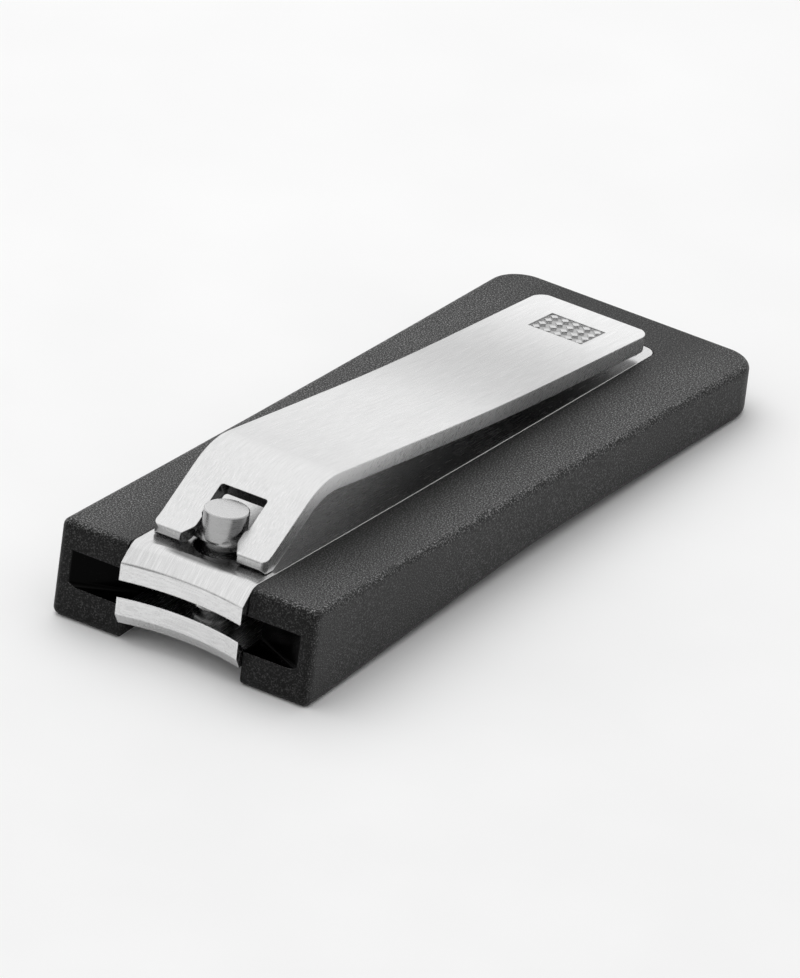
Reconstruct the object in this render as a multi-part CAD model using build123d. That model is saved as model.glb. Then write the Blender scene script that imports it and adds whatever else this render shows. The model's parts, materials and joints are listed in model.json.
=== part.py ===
from build123d import *
import math
import os

# Pocket nail clipper in a moulded casing. Millimetres.
#
# Every piece is drawn in the clipper's own frame: X across, Y from the front face to the rear, Z up from
# the flat top of the casing, which is Z = 0. The casing is a wedge, so rest_pose() then tilts the whole
# clipper onto its two feet. There Z = 0 is the table and the origin is under the middle of the footprint.

# ---- casing ----
casing_width = 30.5
casing_front = -0.7
casing_rear = 84.2
casing_front_height = 10.6
casing_rear_height = 5.5
waist_inset = 0.25
rear_corner_radius = 3.7
front_corner_radius = 0.9
top_edge_radius = 0.8
bottom_edge_radius = 0.8
front_foot_end = 4.0
rear_foot_start = 79.4
arch_knee_y = 44.0
arch_knee_z = -6.75
arch_blend_radius = 200.0
casing_top_wall = 1.8
channel_wall = 2.3
outer_ledge_x = 12.4
hollow_start = 14.0
hollow_end = 77.0

# ---- recesses beside the jaws ----
recess_top = -3.0
recess_bottom = -6.95
recess_outer_x = 13.7
recess_depth = 3.4
recess_floor_radius = 0.6

# ---- base cover ----
cover_thickness = 1.0
cover_half_width = 13.3
cover_front = 12.1
cover_rear = 79.3
cover_corner_radius = 2.0
rib_places = (17.0, 42.0, 70.5)
rib_length = 1.5
rib_inset = 0.6
post_end_inset = 1.0
post_inner_gap = 0.3
post_outer_inset = 0.2
fit_gap = 0.1

# ---- leaves ----
leaf_thickness = 1.6
leaf_front_half = 7.2
leaf_middle_half = 7.02
leaf_rear_half = 6.6
leaf_middle_y = 35.0
leaf_rear = 77.6
leaf_corner_radius = 1.5
leaf_gap = 0.12
edge_radius = 26.4
upper_edge_y = -0.8
upper_edge_z = -3.75
bend_z = -1.85
bend_radius = 0.35
fold_run = 1.75
fold_radius = 1.6
inner_bevel = (1.1, 0.8)
inner_fold_run = 2.5
lower_edge_y = -0.9
lower_edge_rise = 1.55
facet_height = 1.94
facet_lean = 0.12
chamfer_run = 0.64
lower_bevel_run = 1.4
jaw_reach = 4.0
jaw_length = 7.0
jaw_section_length = 10.0
plate_start = 4.0
leaf_bend_y = 52.0
rear_spread = 1.35
front_spread = 5.25
ear_start = 60.0
ear_end = 66.0
ear_half_width = 8.4
ear_gap = 0.25

# ---- tail rivets, just in front of the line where the two leaves meet ----
tail_y = 74.8
rivet_x = 3.6
rivet_radius = 1.2
rivet_hole_radius = 1.28
rivet_head_radius = 1.9
rivet_head_thickness = 0.6
rivet_head_round = 0.25
rivet_head_drop = 0.08
rivet_play = 0.2
counterbore_radius = 2.0
counterbore_depth = 0.8

# ---- pin and collar ----
pin_y = 5.4
pin_top = 4.3
pin_head_radius = 2.32
pin_head_bottom = 1.05
pin_head_round = 0.3
pin_head_chamfer = 0.12
pin_foot_round = 0.4
trunnion_z = 1.0
trunnion_radius = 0.85
trunnion_half_length = 3.3
trunnion_root_radius = 2.2
trunnion_waist = (1.55, 1.9)
trunnion_neck = (2.42, 1.02)
trunnion_end_slope = -0.1
shank_radius = 2.0
lower_shank_radius = 1.5
lower_hole_radius = 1.57
upper_hole_radius = 2.95
pin_foot_top = -8.4
pin_foot_bottom = -9.12
pin_foot_radius = 2.2
collar_radius = 2.4
collar_bottom = -6.2
collar_top = -5.7
collar_round = 0.18
collar_press = 0.01

# ---- lever ----
lever_half_width = 6.65
lever_front = 2.59
lever_front_top = 1.38
ramp_start_y = 3.74
ramp_start_z = 1.84
ramp_foot_radius = 7.0
crest_y = 12.29
crest_z = 7.51
crest_radius = 9.0
handle_bend_y = 46.0
handle_bend_z = 4.25
handle_bend_radius = 450.0
lever_rear = 75.7
lever_rear_z = 2.72
lever_thickness = 1.8
lever_rear_thickness = 1.75
lever_corner_radius = 1.8
lever_rear_round = 0.2
toe_y = 3.2
toe_z = 1.0
toe_bottom = 0.12
toe_front_bottom = 0.5
toe_back = 4.35
toe_underside_run = 0.4
toe_round = 0.3
path_clearance = 0.1
slot_half_width = 2.5
slot_wide_half_width = 2.78
slot_wide_start = 1.5
slot_step_run = 0.4
slot_flare_start = 0.2
slot_flare_radius = 1.2
slot_flare_width = 3.4
slot_flare_end = -1.35
slot_rear = 8.6
slot_corner_radius = 0.35
lever_front_corner_radius = 0.7
badge_x = 0.3
badge_y = 69.5
badge_width = 6.4
badge_length = 4.8
badge_depth = 0.22
badge_columns = 5
badge_rows = 4
stud_size = 0.62

# ---- worked out from the dimensions above ----
half_width = casing_width / 2
foot_front = casing_front + bottom_edge_radius
foot_rear = casing_rear - bottom_edge_radius
foot_slope = (casing_front_height - casing_rear_height) / (foot_rear - foot_front)
rest_tilt = math.degrees(math.atan(foot_slope))
crest_angle = math.atan2(crest_z - ramp_start_z, crest_y - ramp_start_y)
far = 40.0


def foot_line(y):
    """Height of the line through both feet, at a distance y from the front."""
    return -casing_front_height + (y - foot_front) * foot_slope


def slab(outline, half_length):
    """Solid across X from an outline drawn in Y and Z."""
    return extrude(Plane.YZ * outline, half_length, both=True)


def block(x_range, y_range, z_range):
    """Rectangular block between three pairs of limits."""
    size = [high - low for low, high in (x_range, y_range, z_range)]
    middle = [(high + low) / 2 for low, high in (x_range, y_range, z_range)]
    return Pos(*middle) * Box(*size)


def disc(radius, x, y, bottom, top):
    """Upright cylinder between two heights."""
    return Pos(x, y, (bottom + top) / 2) * Cylinder(radius, top - bottom)


def both_sides(shape):
    """The shape and its mirror image across the middle plane."""
    return [shape, mirror(shape, Plane.YZ)]


# ---- casing and base cover ----

def casing_side(lift):
    """Side outline of the casing, with its arched underside raised by lift."""
    outline = Polyline(
        (casing_front, 0),
        (casing_front, foot_line(casing_front) + lift),
        (front_foot_end, foot_line(front_foot_end) + lift),
        (arch_knee_y, arch_knee_z + lift),
        (rear_foot_start, foot_line(rear_foot_start) + lift),
        (casing_rear, foot_line(casing_rear) + lift),
        (casing_rear, 0),
        close=True,
    )
    face = make_face(outline)
    knee = face.vertices().sort_by_distance((arch_knee_y, arch_knee_z + lift))[0]
    return fillet(knee, arch_blend_radius)


def casing_plan():
    """Plan outline of the casing: slightly waisted sides and round rear corners."""
    middle_y = (casing_front + casing_rear) / 2
    waist = half_width - waist_inset
    face = make_face([
        Line((-half_width, casing_front), (half_width, casing_front)),
        ThreePointArc((half_width, casing_front), (waist, middle_y), (half_width, casing_rear)),
        Line((half_width, casing_rear), (-half_width, casing_rear)),
        ThreePointArc((-half_width, casing_rear), (-waist, middle_y), (-half_width, casing_front)),
    ])
    face = fillet(face.vertices().group_by(Axis.Y)[-1], rear_corner_radius)
    return fillet(face.vertices().group_by(Axis.Y)[0], front_corner_radius)


def leaf_plan(clearance, front):
    """Plan outline of a leaf, grown by a clearance."""
    start = leaf_front_half + clearance
    middle = leaf_middle_half + clearance
    end = leaf_rear_half + clearance
    rear = leaf_rear + clearance
    face = make_face([
        Line((-start, front), (start, front)),
        ThreePointArc((start, front), (middle, leaf_middle_y), (end, rear)),
        Line((end, rear), (-end, rear)),
        ThreePointArc((-end, rear), (-middle, leaf_middle_y), (-start, front)),
    ])
    return fillet(face.vertices().group_by(Axis.Y)[-1], leaf_corner_radius + clearance)


def cover_blank(grow):
    """Lower skin of the casing inside the outline of the cover, grown by a clearance."""
    plan = RectangleRounded(
        2 * (cover_half_width + grow),
        cover_rear - cover_front + 2 * grow,
        cover_corner_radius,
    )
    column = extrude(Pos(0, (cover_front + cover_rear) / 2, -far / 2) * plan, far)
    skin = slab(casing_side(0), far) - slab(casing_side(cover_thickness + grow), far)
    return column & skin


def casing_block():
    """Outer form of the casing with all its edges rounded."""
    body = extrude(casing_plan(), -far) & slab(casing_side(0), far)
    top_edges = body.faces().sort_by(Axis.Z)[-1].edges()
    body = fillet(top_edges, top_edge_radius)
    low_edges = body.edges().filter_by(is_under_rim)
    return fillet(low_edges, bottom_edge_radius)


def is_under_rim(edge):
    """True for the edges between the underside and the outer walls."""
    low = edge.bounding_box().max.Z < -casing_rear_height + 1.0
    across = edge.bounding_box().size.X > casing_width / 2
    at_side = abs(edge.center().X) > half_width / 2
    at_end = edge.center().Y < casing_front + 1.0 or edge.center().Y > casing_rear - 1.0
    return low and (at_side or (across and at_end))


def jaw_recess():
    """Wedge beside the jaws that deepens from the outer end to the jaw."""
    inner_x = leaf_front_half
    plan = make_face(Polyline(
        (recess_outer_x, casing_front),
        (inner_x, casing_front + recess_depth),
        (inner_x, casing_front - 2),
        (recess_outer_x, casing_front - 2),
        close=True,
    ))
    wedge = extrude(Pos(0, 0, recess_bottom) * plan, recess_top - recess_bottom)
    low_back = wedge.edges().group_by(Axis.Z)[0].sort_by(lambda edge: -edge.center().Y)
    slanted = [edge for edge in low_back if abs(edge.center().X - (recess_outer_x + inner_x) / 2) < 0.1]
    return fillet(slanted[0], recess_floor_radius)


def casing():
    """Moulded casing: a shell around the channel that holds the two leaves."""
    channel = extrude(Pos(0, 0, -far / 2) * leaf_plan(leaf_gap, casing_front - 3), far)
    body = casing_block() - cover_blank(fit_gap) - channel
    hollow_inner = leaf_front_half + channel_wall
    hollow = block((hollow_inner, outer_ledge_x), (hollow_start, hollow_end), (-far, -casing_top_wall))
    ear_pocket = block(
        (0, ear_half_width + fit_gap),
        (ear_start - ear_gap, ear_end + ear_gap),
        (-far, leaf_top_height(ear_end) + ear_gap),
    )
    for cut in both_sides(hollow) + both_sides(ear_pocket) + both_sides(jaw_recess()):
        body = body - cut
    return body


def leaf_top_height(y):
    """Height of the lower leaf's upper face at a distance y from the front."""
    rear_drop = (leaf_rear - max(y, leaf_bend_y)) * math.tan(math.radians(rear_spread))
    front_drop = max(leaf_bend_y - y, 0) * math.tan(math.radians(front_spread))
    return -leaf_thickness - rear_drop - front_drop


def leaf_bottom_height(y):
    """Height of the lower leaf's underside at a distance y from the front."""
    return leaf_top_height(y) - leaf_thickness / math.cos(math.radians(front_spread))


def base_cover():
    """Plate that closes the underside, with the ribs and posts that carry the lower leaf."""
    cover = cover_blank(0)
    rib_half = leaf_rear_half - rib_inset
    for y in rib_places:
        start = y - rib_length / 2
        top = leaf_bottom_height(start) - fit_gap / 2
        rib = block((-rib_half, rib_half), (start, start + rib_length), (-far, top))
        cover = cover + (rib & above_cover())
    post_start = ear_start + post_end_inset
    post_top = leaf_bottom_height(post_start) - fit_gap / 2
    post = block(
        (leaf_front_half + post_inner_gap, ear_half_width - post_outer_inset),
        (post_start, ear_end - post_end_inset),
        (-far, post_top),
    )
    for side in both_sides(post):
        cover = cover + (side & above_cover())
    return cover


def above_cover():
    """Space from the middle of the cover's thickness up to the casing's top."""
    return slab(casing_side(cover_thickness / 2), far)


# ---- leaves and tail rivets ----

def turned_jaw(section, edge_y):
    """Jaw zone of a leaf: a section swept round the hollow arc of the cutting edge."""
    ring = revolve(Plane.YZ * section, Axis((0, edge_y - edge_radius, 0), (0, 0, 1)))
    column = extrude(Pos(0, 0, -far / 2) * leaf_plan(0, edge_y - jaw_reach), far)
    return ring & column & block((-far, far), (edge_y - jaw_reach, edge_y + jaw_length), (-far, far))


def leaf_plate(bottom, top):
    """Flat part of a leaf behind its jaw."""
    return extrude(Pos(0, 0, bottom) * leaf_plan(0, plate_start), top - bottom)


def upper_leaf():
    """Upper jaw: flat leaf, folded down at the front to a hollow cutting edge."""
    back = upper_edge_y + jaw_section_length
    section = make_face(Polyline(
        (upper_edge_y, bend_z),
        (upper_edge_y, upper_edge_z),
        (upper_edge_y + inner_bevel[0], upper_edge_z + inner_bevel[1]),
        (upper_edge_y + inner_fold_run, -leaf_thickness),
        (back, -leaf_thickness),
        (back, 0),
        (upper_edge_y + fold_run, 0),
        close=True,
    ))
    fold = section.vertices().sort_by_distance((upper_edge_y + fold_run, 0))[0]
    section = fillet(fold, fold_radius)
    bend = section.vertices().sort_by_distance((upper_edge_y, bend_z))[0]
    section = fillet(bend, bend_radius)
    leaf = leaf_plate(-leaf_thickness, 0) + turned_jaw(section, upper_edge_y)
    leaf = leaf - disc(upper_hole_radius, 0, pin_y, -far / 2, far / 2)
    for x in (-rivet_x, rivet_x):
        leaf = leaf - disc(rivet_hole_radius, x, tail_y, -far / 2, far / 2)
        leaf = leaf - disc(counterbore_radius, x, tail_y, -counterbore_depth, far / 2)
    return leaf


def lower_leaf():
    """Lower jaw: drawn flat, bent down at its middle, then opened about the rear edge."""
    top = -leaf_thickness
    bottom = -2 * leaf_thickness
    edge_z = top + lower_edge_rise
    facet_bottom = (lower_edge_y - facet_lean, edge_z - facet_height)
    back = lower_edge_y + jaw_section_length
    section = make_face(Polyline(
        (lower_edge_y, edge_z),
        facet_bottom,
        (facet_bottom[0] + chamfer_run, bottom),
        (back, bottom),
        (back, top),
        (lower_edge_y + lower_bevel_run, top),
        close=True,
    ))
    plate = leaf_plate(bottom, top)
    front = plate & block((-far, far), (-far, leaf_bend_y), (-far, far))
    front = front + turned_jaw(section, lower_edge_y)
    rear = plate & block((-far, far), (leaf_bend_y, leaf_rear + far), (-far, far))
    rear = rear + block((-ear_half_width, ear_half_width), (ear_start, ear_end), (bottom, top))
    leaf = turn_down(front, leaf_bend_y, front_spread - rear_spread) + rear
    leaf = turn_down(leaf, leaf_rear, rear_spread)
    leaf = leaf - disc(lower_hole_radius, 0, pin_y, -far / 2, far / 2)
    for x in (-rivet_x, rivet_x):
        leaf = leaf - disc(rivet_hole_radius, x, tail_y, -far / 2, far / 2)
    return leaf


def turn_down(shape, line_y, angle):
    """Turn a shape nose down about a line across the lower leaf's flat upper face."""
    pivot = Pos(0, line_y, -leaf_thickness)
    return pivot * Rot(angle, 0, 0) * pivot.inverse() * shape


def tail_rivets():
    """The two rivets that join the leaves at the tail; their heads leave room for the leaf to rock."""
    head_bottom = -counterbore_depth + rivet_head_drop
    foot_top = leaf_bottom_height(tail_y) - rivet_play
    rivets = []
    for x in (-rivet_x, rivet_x):
        head = disc(rivet_head_radius, x, tail_y, head_bottom, head_bottom + rivet_head_thickness)
        shank = disc(rivet_radius, x, tail_y, foot_top, head_bottom)
        foot = disc(rivet_head_radius, x, tail_y, foot_top - rivet_head_thickness, foot_top)
        rivet = head + shank + foot
        rims = rivet.edges().filter_by(GeomType.CIRCLE).group_by(Axis.Z)
        rivets.append(fillet(rims[0] + rims[-1], rivet_head_round))
    return Compound(children=rivets)


# ---- pin group ----

def pin():
    """Pin with a round head, tapering trunnions, a shank through both leaves and a rivetted foot."""
    head = disc(pin_head_radius, 0, pin_y, pin_head_bottom, pin_top)
    rims = head.edges().filter_by(GeomType.CIRCLE).sort_by(Axis.Z)
    head = fillet(rims[0], pin_head_round)
    head = chamfer(head.edges().filter_by(GeomType.CIRCLE).sort_by(Axis.Z)[-1], pin_head_chamfer)
    shank = disc(shank_radius, 0, pin_y, collar_top, pin_head_bottom)
    low_shank = disc(lower_shank_radius, 0, pin_y, pin_foot_top, collar_top)
    foot = disc(pin_foot_radius, 0, pin_y, pin_foot_bottom, pin_foot_top)
    foot = fillet(foot.edges().filter_by(GeomType.CIRCLE).sort_by(Axis.Z)[0], pin_foot_round)
    return head + trunnions() + shank + low_shank + foot


def trunnions():
    """Round bar across the pin that the lever's fork hooks under, flared where it leaves the head."""
    half_outline = [
        Spline(
            (0, trunnion_root_radius),
            trunnion_waist,
            trunnion_neck,
            (trunnion_half_length, trunnion_radius),
            tangents=((1, 0), (1, trunnion_end_slope)),
        ),
        Line((trunnion_half_length, trunnion_radius), (trunnion_half_length, 0)),
        Line((trunnion_half_length, 0), (0, 0)),
        Line((0, 0), (0, trunnion_root_radius)),
    ]
    half = revolve(Plane.XZ * make_face(half_outline), Axis.X)
    half = chamfer(half.edges().filter_by(GeomType.CIRCLE).sort_by(Axis.X)[-1], pin_head_chamfer)
    under_head = block((-far, far), (-far, far), (-far, pin_head_bottom - trunnion_z))
    half = (half - under_head) + (half & slab(Circle(trunnion_neck[1]), far))
    halves = both_sides(half)
    return Pos(0, pin_y, trunnion_z) * (halves[0] + halves[1])


def collar():
    """Ring on the shank, just above the lower leaf."""
    ring = disc(collar_radius, 0, pin_y, collar_bottom, collar_top)
    ring = fillet(ring.edges().filter_by(GeomType.CIRCLE), collar_round)
    return ring - disc(lower_shank_radius + collar_press, 0, pin_y, collar_bottom - 1, collar_top + 1)


# ---- lever ----

def lever_side():
    """Side outline of the lever: toe, ramp, rounded crest and a long, slightly hollow handle."""
    ramp_normal = (math.sin(crest_angle), -math.cos(crest_angle))
    handle_angle = math.atan2(handle_bend_z - crest_z, handle_bend_y - crest_y)
    half_turn = (crest_angle - handle_angle) / 2
    under_crest_y = crest_y + lever_thickness * math.sin(crest_angle - half_turn) / math.cos(half_turn)
    under_crest_z = crest_z - lever_thickness * math.cos(crest_angle - half_turn) / math.cos(half_turn)
    under_start_z = ramp_start_z + lever_thickness * ramp_normal[1]
    under_start_y = ramp_start_y + lever_thickness * ramp_normal[0]
    toe_back_z = under_start_z + (toe_back - under_start_y) * math.tan(crest_angle)
    face = make_face(Polyline(
        (lever_front, toe_front_bottom),
        (lever_front, lever_front_top),
        (ramp_start_y, ramp_start_z),
        (crest_y, crest_z),
        (handle_bend_y, handle_bend_z),
        (lever_rear, lever_rear_z),
        (lever_rear, lever_rear_z - lever_rear_thickness),
        (handle_bend_y, handle_bend_z - lever_thickness),
        (under_crest_y, under_crest_z),
        (toe_back, max(toe_back_z, toe_bottom)),
        (lever_front + toe_underside_run, toe_bottom),
        close=True,
    ))
    rounds = (
        (crest_y, crest_z, crest_radius),
        (under_crest_y, under_crest_z, crest_radius - lever_thickness),
        (handle_bend_y, handle_bend_z, handle_bend_radius),
        (handle_bend_y, handle_bend_z - lever_thickness, handle_bend_radius),
        (ramp_start_y, ramp_start_z, ramp_foot_radius),
        (lever_front, lever_front_top, toe_round),
        (lever_front, toe_front_bottom, toe_round),
        (lever_rear, lever_rear_z, lever_rear_round),
        (lever_rear, lever_rear_z - lever_rear_thickness, lever_rear_round),
    )
    for y, z, radius in rounds:
        corner = face.vertices().sort_by_distance((y, z))[0]
        face = fillet(corner, radius)
    return face


def lever_plan():
    """Plan outline of the lever with its four rounded corners."""
    length = lever_rear - lever_front
    face = Pos(0, (lever_rear + lever_front) / 2) * Rectangle(2 * lever_half_width, length)
    face = fillet(face.vertices().group_by(Axis.Y)[-1], lever_corner_radius)
    return fillet(face.vertices().group_by(Axis.Y)[0], lever_front_corner_radius)


def fork_slot():
    """Slot for the pin's head, punched square to the ramp, wider at the rear and flared at the front."""
    ramp = Plane(
        origin=(0, ramp_start_y, ramp_start_z),
        x_dir=(1, 0, 0),
        z_dir=(0, -math.sin(crest_angle), math.cos(crest_angle)),
    )
    rear = (slot_rear - ramp_start_y) / math.cos(crest_angle)
    front = slot_flare_end - 3
    right = [
        (slot_flare_width, front),
        (slot_flare_width, slot_flare_end),
        (slot_half_width, slot_flare_start),
        (slot_half_width, slot_wide_start),
        (slot_wide_half_width, slot_wide_start + slot_step_run),
        (slot_wide_half_width, rear),
    ]
    left = [(-x, y) for x, y in reversed(right)]
    outline = make_face(Polyline(*right, *left, close=True))
    outline = fillet(outline.vertices().group_by(Axis.Y)[-1], slot_corner_radius)
    flare = [v for v in outline.vertices() if abs(v.Y - slot_flare_start) < 0.01]
    outline = fillet(flare, slot_flare_radius)
    return extrude(ramp * outline, 3 * lever_thickness, both=True)


def trunnion_path(radius, half_length):
    """Room for the trunnions while the lever turns over on its toes."""
    reach = math.hypot(pin_y - toe_y, trunnion_z - toe_z)
    ring = Circle(reach + radius) - Circle(reach - radius)
    lift = math.degrees(math.atan2(trunnion_z - toe_z, pin_y - toe_y))
    lower_half = Rot(0, 0, lift) * Pos(0, -far / 2) * Rectangle(far, far)
    path = Pos(toe_y, toe_z) * (ring & lower_half)
    start = Pos(pin_y, trunnion_z) * Circle(radius)
    return slab(path, half_length) + slab(start, half_length)


def badge():
    """Shallow panel near the handle's end, filled with a plain grid of diamond studs."""
    handle_slope = (handle_bend_z - lever_rear_z) / (lever_rear - handle_bend_y)
    handle_fall = math.degrees(math.atan(handle_slope))
    surface_z = lever_rear_z + (lever_rear - badge_y) * handle_slope
    place = Pos(badge_x, badge_y, surface_z) * Rot(-handle_fall, 0, 0)
    pocket = place * Box(badge_width, badge_length, 2 * badge_depth)
    diamond = Rot(0, 0, 45) * Rectangle(stud_size, stud_size)
    studs = []
    for column in range(badge_columns):
        for row in range(badge_rows):
            x = (column - (badge_columns - 1) / 2) * badge_width / badge_columns
            y = (row - (badge_rows - 1) / 2) * badge_length / badge_rows
            studs.append(place * extrude(Pos(x, y, -badge_depth - 0.1) * diamond, badge_depth + 0.05))
    return pocket, studs


def lever():
    """Press lever, forked at the front so that it straddles the pin's head."""
    blank = slab(lever_side(), lever_half_width) & extrude(lever_plan(), far)
    blank = blank - fork_slot()
    blank = blank - trunnion_path(trunnion_neck[1] + path_clearance, trunnion_half_length + path_clearance)
    pocket, studs = badge()
    blank = blank - pocket
    for stud in studs:
        blank = blank + stud
    return blank


# ---- assembly ----

def build():
    """All pieces by name, in the clipper's own frame."""
    return {
        "casing": casing(),
        "base_cover": base_cover(),
        "upper_leaf": upper_leaf(),
        "lower_leaf": lower_leaf(),
        "tail_rivets": tail_rivets(),
        "pin": pin(),
        "collar": collar(),
        "lever": lever(),
    }


def rest_pose(pieces):
    """Location that stands the clipper on its feet, with the origin under the middle of its footprint."""
    tilt = Rot(-rest_tilt, 0, 0)
    low = [math.inf, math.inf, math.inf]
    high = [-math.inf, -math.inf, -math.inf]
    for piece in pieces.values():
        box = (tilt * piece).bounding_box()
        low = [min(a, b) for a, b in zip(low, box.min)]
        high = [max(a, b) for a, b in zip(high, box.max)]
    return Pos(-(low[0] + high[0]) / 2, -(low[1] + high[1]) / 2, -low[2]) * tilt


pieces = build()
rest = rest_pose(pieces)
os.makedirs("parts", exist_ok=True)
for name, piece in pieces.items():
    export_step(rest * piece, "parts/" + name + ".step")
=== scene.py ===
import json
import math

import bpy
from mathutils import Matrix, Vector

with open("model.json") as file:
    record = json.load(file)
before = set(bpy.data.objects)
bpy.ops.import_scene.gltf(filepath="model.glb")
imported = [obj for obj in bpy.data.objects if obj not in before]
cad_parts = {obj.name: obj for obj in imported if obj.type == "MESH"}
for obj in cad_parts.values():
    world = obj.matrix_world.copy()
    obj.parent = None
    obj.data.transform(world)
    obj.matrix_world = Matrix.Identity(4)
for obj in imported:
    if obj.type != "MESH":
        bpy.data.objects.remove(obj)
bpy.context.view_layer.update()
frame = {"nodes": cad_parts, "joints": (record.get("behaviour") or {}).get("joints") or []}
nodes = frame["nodes"]
MM = 0.001

# The clipper's own frame: X across, Y from the front face to the rear, Z up from the casing's flat top.
# At rest that top leans back by the same angle that the pin's axis leans from upright.
pin_joint = [j for j in frame["joints"] if j["name"] == "pin_swivel"][0]
pin_axis = Vector(pin_joint["axis"])
LEAN = math.atan2(pin_axis.y, pin_axis.z)
PIN_SETBACK = 5.4 * MM
TOP_FRONT = Vector(pin_joint["pos_m"]) - PIN_SETBACK * Vector((0, math.cos(LEAN), -math.sin(LEAN)))
OWN_SHIFT = -(Matrix.Rotation(LEAN, 3, "X") @ TOP_FRONT)

# Places in the clipper's own frame that the materials follow.
RECESS_Y = (-0.62 * MM, 6 * MM)
RECESS_Z = (-7.3 * MM, -2.6 * MM)
RECESS_OUTER = 13.9 * MM
CHANNEL_HALF = 7.0 * MM
SHADED_TOP_END = 12.5 * MM
SHADED_TAIL_Y = (74 * MM, 82 * MM)
SLOT_HALF = 2.85 * MM
SLOT_REAR = 9.6 * MM
TOE_BACK = 3.2 * MM
LEVER_SIDE = 6.3 * MM
HANDLE_BEND = (46.0 * MM, 4.25 * MM)
HANDLE_REAR = (75.7 * MM, 2.72 * MM)
PANEL_X = (-2.95 * MM, 3.55 * MM)
PANEL_Y = (67.0 * MM, 72.0 * MM)
PANEL_DEEPEST = 1.0 * MM
# Where the upper leaf gets its painted dark reflection.
REFLECTION_PATCH_Y = (0.85 * MM, 9 * MM)
REFLECTION_PATCH_HALF = (2.6 * MM, 4.8 * MM)
SOFT_EDGE = 0.04 * MM


# ---- node helpers ----

class Nodes:
    """Short calls for building one material's node tree."""

    def __init__(self, name):
        self.material = bpy.data.materials.new(name)
        self.material.use_nodes = True
        self.tree = self.material.node_tree
        self.shader = self.tree.nodes["Principled BSDF"]
        self.own = None

    def add(self, kind, **settings):
        node = self.tree.nodes.new(kind)
        for key, value in settings.items():
            if key in node.bl_rna.properties:
                setattr(node, key, value)
            else:
                node.inputs[key.replace("_", " ")].default_value = value
        return node

    def link(self, source, target):
        self.tree.links.new(source, target)

    def feed(self, value, target):
        """Link a socket, or set a plain value."""
        if isinstance(value, bpy.types.NodeSocket):
            self.link(value, target)
        else:
            target.default_value = value

    def math(self, operation, first, second=None, clamp=False):
        node = self.add("ShaderNodeMath", operation=operation, use_clamp=clamp)
        self.feed(first, node.inputs[0])
        if second is not None:
            self.feed(second, node.inputs[1])
        return node.outputs[0]

    def ramp(self, value, low, high, out_low=0.0, out_high=1.0, smooth=False):
        node = self.add("ShaderNodeMapRange")
        if smooth:
            node.interpolation_type = "SMOOTHSTEP"
        self.link(value, node.inputs["Value"])
        self.feed(low, node.inputs["From Min"])
        self.feed(high, node.inputs["From Max"])
        self.feed(out_low, node.inputs["To Min"])
        self.feed(out_high, node.inputs["To Max"])
        return node.outputs["Result"]

    def blend(self, factor, first, second):
        """Number between first and second."""
        node = self.add("ShaderNodeMix", data_type="FLOAT")
        self.feed(factor, node.inputs[0])
        self.feed(first, node.inputs[2])
        self.feed(second, node.inputs[3])
        return node.outputs[0]

    def grey(self, value):
        """Colour from a single brightness socket."""
        node = self.add("ShaderNodeCombineColor")
        for slot in range(3):
            self.link(value, node.inputs[slot])
        return node.outputs[0]

    def product(self, *values):
        result = values[0]
        for value in values[1:]:
            result = self.math("MULTIPLY", result, value)
        return result

    def own_place(self):
        """Object coordinates in the clipper's own frame."""
        if self.own is None:
            coord = self.add("ShaderNodeTexCoord")
            level = self.add("ShaderNodeMapping", vector_type="POINT")
            level.inputs["Rotation"].default_value = (LEAN, 0, 0)
            level.inputs["Location"].default_value = OWN_SHIFT
            self.link(coord.outputs["Object"], level.inputs["Vector"])
            self.own = level.outputs[0]
        return self.own

    def place(self, scale, turn=(0, 0, 0)):
        """Own-frame coordinates, turned and then stretched."""
        spin = self.add("ShaderNodeMapping", vector_type="POINT")
        spin.inputs["Rotation"].default_value = turn
        self.link(self.own_place(), spin.inputs["Vector"])
        stretch = self.add("ShaderNodeMapping", vector_type="POINT")
        stretch.inputs["Scale"].default_value = scale
        self.link(spin.outputs[0], stretch.inputs["Vector"])
        return stretch.outputs[0]

    def noise(self, scale, detail=2.0, rough=0.5, turn=(0, 0, 0)):
        """Noise with a number of features per metre along X, Y and Z."""
        if isinstance(scale, (int, float)):
            scale = (scale, scale, scale)
        node = self.add("ShaderNodeTexNoise", Scale=1.0, Detail=detail, Roughness=rough)
        self.link(self.place(scale, turn), node.inputs["Vector"])
        return node.outputs[0]

    def axes(self, vector):
        node = self.add("ShaderNodeSeparateXYZ")
        self.link(vector, node.inputs[0])
        return node.outputs

    def normal_axes(self):
        """Face direction of the piece in its own rest frame."""
        geometry = self.add("ShaderNodeNewGeometry")
        turn = self.add("ShaderNodeVectorTransform", vector_type="NORMAL")
        turn.convert_from = "WORLD"
        turn.convert_to = "OBJECT"
        self.link(geometry.outputs["Normal"], turn.inputs[0])
        return self.axes(turn.outputs[0])

    def inside(self, value, low, high, soft):
        """One between two limits, with soft borders."""
        rise = self.ramp(value, low - soft, low + soft)
        fall = self.ramp(value, high - soft, high + soft, 1.0, 0.0)
        return self.product(rise, fall)

    def bump(self, height, strength, distance, normal=None):
        node = self.add("ShaderNodeBump", Strength=strength, Distance=distance)
        self.link(height, node.inputs["Height"])
        if normal is not None:
            self.link(normal, node.inputs["Normal"])
        return node.outputs[0]

    def soft_edges(self, radius):
        node = self.add("ShaderNodeBevel", samples=4)
        node.inputs["Radius"].default_value = radius
        return node.outputs[0]

    def edge_mask(self, rounded):
        """Zero on flat faces and up to one on edges, from the rounded normal."""
        geometry = self.add("ShaderNodeNewGeometry")
        dot = self.add("ShaderNodeVectorMath", operation="DOT_PRODUCT")
        self.link(rounded, dot.inputs[0])
        self.link(geometry.outputs["Normal"], dot.inputs[1])
        return self.ramp(dot.outputs["Value"], 0.995, 0.85)


# ---- materials ----

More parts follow.
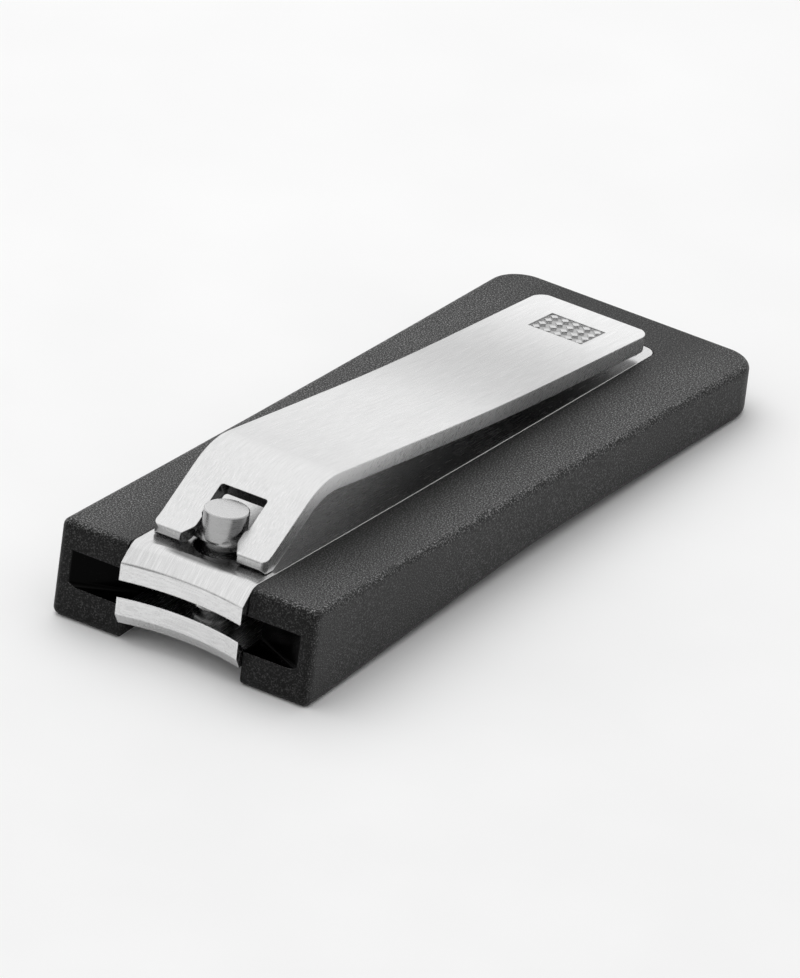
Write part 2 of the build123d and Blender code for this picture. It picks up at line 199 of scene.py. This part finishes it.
def moulded_plastic(name, tone, sparkle):
    """Black moulded plastic with a spark-eroded grain outside and polished recesses beside the jaws,
    with painted shade in the recesses, on the front faces, beside the leaf and towards the tail.
    """
    n = Nodes(name)
    x, y, z = n.axes(n.own_place())
    facing = n.normal_axes()
    up = n.ramp(facing[2], 0.0, 1.0)
    # Front-facing mask: it carries painted shade that darkens the front faces to 0.45 of the tone, and
    # it halves their gloss.
    front = n.ramp(facing[1], -0.5, -0.9)
    width = n.math("ABSOLUTE", x)
    recess = n.product(
        n.inside(y, *RECESS_Y, SOFT_EDGE),
        n.inside(z, *RECESS_Z, 0.3 * MM),
        n.ramp(width, RECESS_OUTER, RECESS_OUTER + 0.1 * MM, 1.0, 0.0),
    )
    outside = n.math("SUBTRACT", 1.0, recess)
    grain = n.noise(6500, detail=2.0, rough=0.65)
    fine = n.noise(11000, detail=1.0)
    cloud = n.noise(90, detail=2.0)
    speck = n.product(n.ramp(grain, 0.5, 0.74), outside, n.blend(up, 0.35, 1.0))
    base = n.math("ADD", tone, n.product(speck, sparkle))
    # Painted shade: the recesses beside the jaws are darkened to 0.15 of the tone; the cloud varies the
    # tone at random everywhere.
    base = n.product(base, n.ramp(cloud, 0.3, 0.7, 0.9, 1.12), n.blend(recess, 1.0, 0.15))
    # Painted shade on the casing top beside the leaf channel: the tone is halved there and recovers by
    # SHADED_TOP_END.
    painted_shade_near_leaf = n.product(n.ramp(width, CHANNEL_HALF, SHADED_TOP_END, 1.0, 0.0, smooth=True), up)
    base = n.product(base, n.blend(front, 1.0, 0.45), n.blend(painted_shade_near_leaf, 1.0, 0.5))
    # Painted shade: the casing darkens to 0.78 of its tone towards the tail.
    base = n.product(base, n.ramp(y, *SHADED_TAIL_Y, 1.0, 0.78, smooth=True))
    n.link(n.grey(base), n.shader.inputs["Base Color"])
    rough = n.ramp(fine, 0.3, 0.7, 0.5, 0.62)
    n.link(n.blend(recess, rough, 0.22), n.shader.inputs["Roughness"])
    gloss = n.product(n.blend(recess, 0.38, 0.07), n.blend(front, 1.0, 0.5))
    n.link(gloss, n.shader.inputs["Specular IOR Level"])
    coarse_relief = n.bump(n.product(grain, outside), 0.4, 0.025 * MM)
    fine_relief = n.bump(n.product(fine, outside), 0.35, 0.012 * MM, coarse_relief)
    n.link(fine_relief, n.shader.inputs["Normal"])
    return n.material


def brushed_steel(name, tone, lines, rough=0.28, relief=0.35, contrast=0.1, edge=0.14, shade=None):
    """Satin steel with painted highlights on its edges: lines(n) gives the brush pattern, and shade(n),
    if given, a factor for the tone that paints light and shade.
    """
    n = Nodes(name)
    pattern = lines(n)
    cloud = n.noise(60, detail=2.0)
    base = n.product(n.ramp(pattern, 0.3, 0.7, tone * (1 - contrast), tone * (1 + contrast * 0.4)),
                     n.ramp(cloud, 0.3, 0.7, 0.97, 1.02))
    # Painted light and shade: the given function's factor scales the tone.
    if shade is not None:
        base = n.product(base, shade(n))
    rounded = n.soft_edges(edge * MM)
    painted_edge_highlight = n.edge_mask(rounded)
    # Painted highlight: edges, found from the rounded normal, are lightened towards 0.97.
    bright = n.blend(n.product(painted_edge_highlight, 0.8), base, 0.97)
    n.link(n.grey(bright), n.shader.inputs["Base Color"])
    n.shader.inputs["Metallic"].default_value = 1.0
    scratch = n.ramp(pattern, 0.3, 0.7, rough + 0.05, rough - 0.05)
    n.link(n.math("ADD", scratch, n.ramp(cloud, 0.3, 0.7, -0.02, 0.03)), n.shader.inputs["Roughness"])
    n.link(n.bump(pattern, relief, 0.004 * MM, rounded), n.shader.inputs["Normal"])
    return n.material


def lever_lines(n):
    """Lengthwise brushing on the broad faces, slanted grinding marks on the edges."""
    along = n.noise((9000, 260, 2500), detail=3.0, rough=0.6)
    slant = n.noise((6000, 900, 11000), detail=2.0, rough=0.6, turn=(math.radians(-38), 0, 0))
    side = n.ramp(n.math("ABSOLUTE", n.normal_axes()[0]), 0.5, 0.8)
    return n.blend(side, along, slant)


def lever_painted_light(n):
    """Painted light and shade on the lever: a painted sheen along the handle, painted highlight on the
    sides, painted shade on the underside, toe fronts and slot walls, and a darker stud panel.
    """
    x, y, z = n.axes(n.own_place())
    # Painted sheen: the tone rises, falls and rises again along the handle in place of the studio's
    # reflection.
    near = n.ramp(y, 14 * MM, 32 * MM, 0.94, 1.03, smooth=True)
    middle = n.ramp(y, 35 * MM, 54 * MM, 0.0, -0.27, smooth=True)
    rear = n.ramp(y, 56 * MM, 75 * MM, 0.0, 0.37, smooth=True)
    sheen = n.math("ADD", n.math("ADD", near, middle), rear)
    width = n.math("ABSOLUTE", x)
    facing = n.normal_axes()
    # Painted shade on the walls of the slot behind the pin, down to 0.3 of the tone.
    painted_slot_shade = n.product(
        n.ramp(width, SLOT_HALF, SLOT_HALF + 0.1 * MM, 1.0, 0.0),
        n.ramp(y, SLOT_REAR, SLOT_REAR + 0.4 * MM, 1.0, 0.0),
        n.ramp(facing[2], 0.4, 0.6, 1.0, 0.0),
    )
    # Painted shade on the front faces of the toes, down to 0.72 of the tone.
    toes = n.product(n.ramp(facing[1], -0.5, -0.8), n.ramp(y, TOE_BACK, TOE_BACK + 0.4 * MM, 1.0, 0.0))
    # Painted shade on the lever's underside, down to 0.3 of the tone, so that the leaf mirrors it dark.
    painted_underside_shade = n.ramp(facing[2], -0.2, -0.5)
    # Painted highlight: the lever's side faces are lightened by 1.18.
    sideways = n.ramp(n.math("ABSOLUTE", facing[0]), 0.6, 0.9)
    side = n.product(sideways, n.ramp(width, LEVER_SIDE, LEVER_SIDE + 0.2 * MM))
    surface = n.ramp(y, HANDLE_BEND[0], HANDLE_REAR[0], HANDLE_BEND[1], HANDLE_REAR[1])
    depth = n.math("SUBTRACT", surface, z)
    panel = n.product(
        n.inside(depth, 0.02 * MM, PANEL_DEEPEST, 0.01 * MM),
        n.inside(x, *PANEL_X, 0.05 * MM),
        n.inside(y, *PANEL_Y, 0.05 * MM),
    )
    deep = n.inside(depth, 0.1 * MM, PANEL_DEEPEST, SOFT_EDGE)
    dark = n.math("SUBTRACT", 1.0, n.product(panel, n.blend(deep, 0.15, 0.42)))
    # Painted shade on the slot walls, the toe fronts and the underside, multiplied together.
    low = n.product(n.blend(painted_slot_shade, 1.0, 0.3), n.blend(toes, 1.0, 0.72), n.blend(painted_underside_shade, 1.0, 0.3))
    # Painted sheen, darker stud panel, painted shade and painted side highlight, multiplied together.
    return n.product(sheen, dark, low, n.blend(side, 1.0, 1.18))


def leaf_lines(n):
    """Strokes that run fore and aft, and level grinding lines on the faces towards the front."""
    strokes = n.noise((8000, 420, 420), detail=3.0, rough=0.6)
    level = n.noise((260, 7000, 7000), detail=3.0, rough=0.6)
    front = n.ramp(n.normal_axes()[1], -0.8, -0.9)
    return n.blend(front, strokes, level)


def leaf_painted_reflection(n):
    """Painted dark reflection on the flat of the upper leaf between the lever's toes, round the pin's
    hole.
    """
    x, y, z = n.axes(n.own_place())
    painted_dark_reflection = n.product(
        n.inside(y, *REFLECTION_PATCH_Y, 0.2 * MM),
        n.ramp(n.math("ABSOLUTE", x), *REFLECTION_PATCH_HALF, 1.0, 0.0, smooth=True),
        n.ramp(z, -0.5 * MM, -0.3 * MM),
    )
    return n.blend(painted_dark_reflection, 1.0, 0.3)


def turned_lines(n):
    """Fine rings round an upright axis."""
    rings = n.noise((300, 300, 9000), detail=2.0, rough=0.6)
    ends = n.noise((3500, 3500, 3500), detail=2.0)
    flat = n.ramp(n.math("ABSOLUTE", n.normal_axes()[2]), 0.6, 0.9)
    return n.blend(flat, rings, ends)


def pin_painted_shade(n):
    """Painted shade: darker round the side than on the top of the head."""
    return n.ramp(n.math("ABSOLUTE", n.normal_axes()[2]), 0.5, 0.9, 0.68, 1.06)


def assign(node_name, material):
    data = nodes[node_name].data
    data.materials.clear()
    data.materials.append(material)


leaf_steel = brushed_steel("leaf_steel", 0.78, leaf_lines, rough=0.24, contrast=0.14, shade=leaf_painted_reflection)
pin_steel = brushed_steel(
    "pin_steel", 0.64, turned_lines, rough=0.26, relief=0.1, contrast=0.03, shade=pin_painted_shade)
collar_steel = brushed_steel(
    "collar_steel", 0.85, turned_lines, rough=0.14, relief=0.05, contrast=0.03)
assign("casing", moulded_plastic("casing_plastic", 0.006, 0.4))
assign("base_cover", moulded_plastic("cover_plastic", 0.01, 0.25))
assign("lever", brushed_steel("lever_steel", 0.86, lever_lines, shade=lever_painted_light))
assign("upper_leaf", leaf_steel)
assign("lower_leaf", leaf_steel)
assign("pin", pin_steel)
assign("collar", collar_steel)
assign("tail_rivets", brushed_steel("rivet_steel", 0.72, turned_lines, rough=0.3, relief=0.2))


# ---- stage ----

def floor():
    """White table top with a very faint mottle."""
    size = 1.5
    mesh = bpy.data.meshes.new("floor")
    corners = [(-size, -size, 0), (size, -size, 0), (size, size, 0), (-size, size, 0)]
    mesh.from_pydata(corners, [], [(0, 1, 2, 3)])
    plane = bpy.data.objects.new("floor", mesh)
    bpy.context.scene.collection.objects.link(plane)
    n = Nodes("floor_paint")
    n.link(n.grey(n.ramp(n.noise(40), 0.3, 0.7, 0.9, 0.93)), n.shader.inputs["Base Color"])
    n.shader.inputs["Roughness"].default_value = 0.8
    n.shader.inputs["Specular IOR Level"].default_value = 0.2
    mesh.materials.append(n.material)


def area_light(name, place, aim, size, power):
    """Soft box that lights matt surfaces; the steel mirrors only the studio round it."""
    data = bpy.data.lights.new(name, "AREA")
    data.size = size
    data.energy = power
    lamp = bpy.data.objects.new(name, data)
    lamp.location = place
    lamp.rotation_mode = "QUATERNION"
    lamp.rotation_quaternion = (Vector(aim) - Vector(place)).to_track_quat("-Z", "Y")
    lamp.visible_glossy = False
    bpy.context.scene.collection.objects.link(lamp)


def studio_world(low, high, bright_side):
    """Soft studio: darkest low on the far side, brightest round the direction bright_side."""
    scene_world = bpy.data.worlds.new("studio")
    scene_world.use_nodes = True
    tree = scene_world.node_tree
    coord = tree.nodes.new("ShaderNodeTexCoord")
    dot = tree.nodes.new("ShaderNodeVectorMath")
    dot.operation = "DOT_PRODUCT"
    dot.inputs[1].default_value = Vector(bright_side).normalized()
    tree.links.new(coord.outputs["Generated"], dot.inputs[0])
    shape = tree.nodes.new("ShaderNodeMapRange")
    shape.interpolation_type = "SMOOTHSTEP"
    shape.inputs["From Min"].default_value = -0.15
    shape.inputs["From Max"].default_value = 0.85
    shape.inputs["To Min"].default_value = low
    shape.inputs["To Max"].default_value = high
    tree.links.new(dot.outputs["Value"], shape.inputs["Value"])
    background = tree.nodes["Background"]
    background.inputs["Color"].default_value = (1, 1, 1, 1)
    tree.links.new(shape.outputs["Result"], background.inputs["Strength"])
    bpy.context.scene.world = scene_world


def camera(azimuth, elevation, roll, aim, long_side, lens):
    """Long-lens camera that shows long_side metres along the picture's long side."""
    data = bpy.data.cameras.new("camera")
    data.lens = lens
    distance = long_side * lens / data.sensor_width
    a = math.radians(azimuth)
    e = math.radians(elevation)
    back = Vector((math.sin(a) * math.cos(e), -math.cos(a) * math.cos(e), math.sin(e)))
    level = (-back).to_track_quat("-Z", "Y").to_matrix()
    turned = Matrix.Rotation(math.radians(roll), 3, back) @ level
    eye = bpy.data.objects.new("camera", data)
    eye.rotation_mode = "QUATERNION"
    eye.rotation_quaternion = turned.to_quaternion()
    eye.location = aim + back * distance
    data.clip_start = distance * 0.1
    data.clip_end = distance * 10
    bpy.context.scene.collection.objects.link(eye)
    bpy.context.scene.camera = eye


floor()
studio_world(0.25, 1.0, (-0.45, 0.3, 0.85))
area_light("overhead", (-0.25, 0.1, 0.55), (0, 0, 0), 0.62, 1.3)
camera(29.93, 27.88, 5.45, Vector((0, -1.35 * MM, 3.0 * MM)), 98.14 * MM, 1200)
bpy.context.scene.view_settings.view_transform = "Standard"
